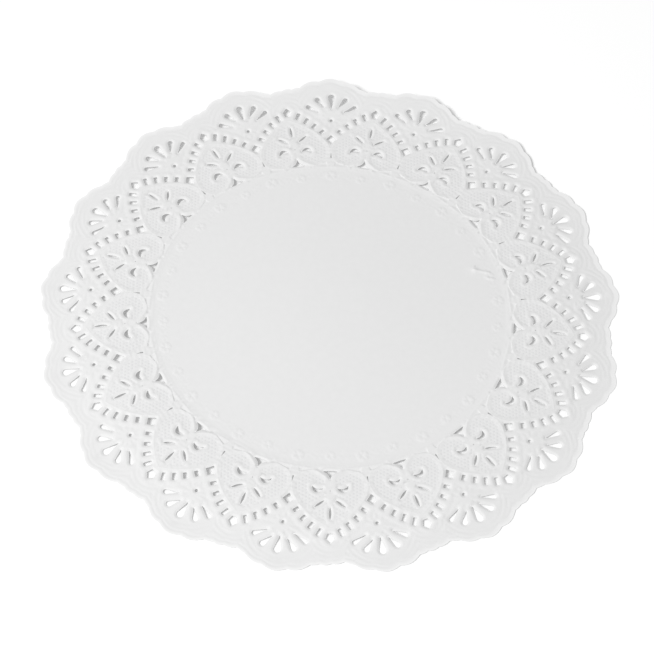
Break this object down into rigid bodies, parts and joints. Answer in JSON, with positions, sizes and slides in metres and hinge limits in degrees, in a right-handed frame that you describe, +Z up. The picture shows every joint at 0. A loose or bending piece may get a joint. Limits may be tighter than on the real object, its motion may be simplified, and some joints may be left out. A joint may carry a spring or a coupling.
{
  "type": "round paper lace doily",
  "caption": "Flat round lace doily: one thin die-cut paper sheet with a scalloped edge, a pierced border of fans and hearts, and a plain middle.",
  "frame": {"origin": "centre of the underside, on the surface that the doily lies on", "axes": "+Z up, out of the pressed face; +Y along the axis of one fan, out through the tip of its scallop; X to the right of it seen from above"},
  "size_m": [0.3035, 0.3023, 0.001],
  "materials": {
    "white_paper": "uncoated, matt, pressed in relief"
  },
  "bodies": {
    "root": {"doily_sheet": "white_paper"}
  },
  "joints": []
}
